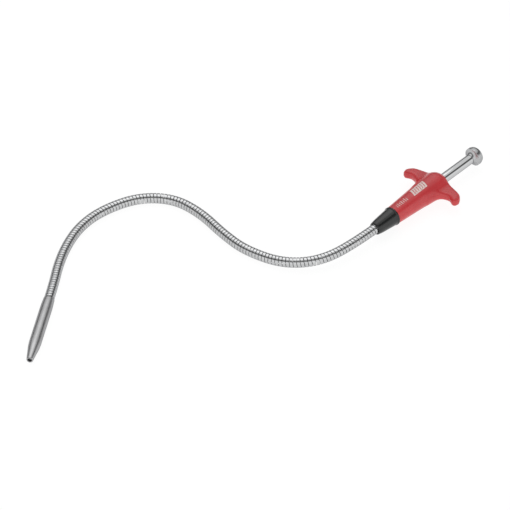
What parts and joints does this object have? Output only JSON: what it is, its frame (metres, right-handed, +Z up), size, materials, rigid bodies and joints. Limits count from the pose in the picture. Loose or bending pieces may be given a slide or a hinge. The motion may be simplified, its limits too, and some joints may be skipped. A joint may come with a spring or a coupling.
{
  "type": "flexible claw drain auger",
  "caption": "T-handled claw tool: a sprung thumb plunger works wire claws through a bendable steel shaft and a tapered nozzle.",
  "frame": {"origin": "on the plane that the tool lies on, under the middle of the handle (ferrule front to button face)", "axes": "+X along the handle axis towards the thumb button, +Y towards the side the shaft curves to, +Z up"},
  "size_m": [0.4431, 0.2261, 0.022],
  "materials": {
    "red_plastic": "moulded, semi-gloss",
    "black_plastic": "moulded, satin",
    "bright_chrome": "polished plating",
    "satin_steel": "satin, turned",
    "wound_steel": "bright drawn flat wire",
    "spring_steel": "drawn wire",
    "cable_steel": "stranded cable",
    "plain_steel": "turned",
    "brass": "turned"
  },
  "bodies": {
    "handle": {"handle_body": "red_plastic", "rear_guide_plug": "red_plastic", "nose_ferrule": "black_plastic", "hose_socket": "brass", "spring_seat": "plain_steel", "return_spring": "spring_steel", "hose_winding": "wound_steel", "hose_core": "spring_steel", "push_cable": "cable_steel", "nozzle": "satin_steel"},
    "plunger": {"plunger_rod": "bright_chrome", "thumb_button": "bright_chrome", "rod_collar": "plain_steel", "cable_clamp": "plain_steel"},
    "claw_carrier": {"claw_holder": "plain_steel"},
    "claw_1": {"claw_1": "spring_steel"},
    "claw_2": {"claw_2": "spring_steel"},
    "claw_3": {"claw_3": "spring_steel"},
    "claw_4": {"claw_4": "spring_steel"}
  },
  "joints": [
    {"name": "plunger_slide", "type": "slide", "parent": "handle", "child": "plunger", "axis": [-1, 0, 0], "range_m": [0, 0.03], "stiffness_N_per_m": 150, "springref_m": -0.01, "deforming": ["return_spring"]},
    {"name": "claw_carrier_slide", "type": "slide", "parent": "handle", "child": "claw_carrier", "axis": [-0.8613, -0.5082, 0], "range_m": [0, 0.03]},
    {"name": "claw_1_spread", "type": "hinge", "parent": "claw_carrier", "child": "claw_1", "pos_m": [-0.35124, 0.12368, 0.00605], "axis": [-0.3593, 0.609, -0.7071], "range_deg": [0, 18], "deforming": ["claw_1"]},
    {"name": "claw_2_spread", "type": "hinge", "parent": "claw_carrier", "child": "claw_2", "pos_m": [-0.35124, 0.12368, 0.00435], "axis": [0.3593, -0.609, -0.7071], "range_deg": [0, 18], "deforming": ["claw_2"]},
    {"name": "claw_3_spread", "type": "hinge", "parent": "claw_carrier", "child": "claw_3", "pos_m": [-0.35038, 0.12222, 0.00435], "axis": [0.3593, -0.609, 0.7071], "range_deg": [0, 18], "deforming": ["claw_3"]},
    {"name": "claw_4_spread", "type": "hinge", "parent": "claw_carrier", "child": "claw_4", "pos_m": [-0.35038, 0.12222, 0.00605], "axis": [-0.3593, 0.609, 0.7071], "range_deg": [0, 18], "deforming": ["claw_4"]}
  ],
  "couplings": [
    {"joint": "claw_carrier_slide", "follows": "plunger_slide", "ratio": 1},
    {"joint": "claw_1_spread", "follows": "plunger_slide", "rad_per_m": 10.47},
    {"joint": "claw_2_spread", "follows": "plunger_slide", "rad_per_m": 10.47},
    {"joint": "claw_3_spread", "follows": "plunger_slide", "rad_per_m": 10.47},
    {"joint": "claw_4_spread", "follows": "plunger_slide", "rad_per_m": 10.47}
  ]
}
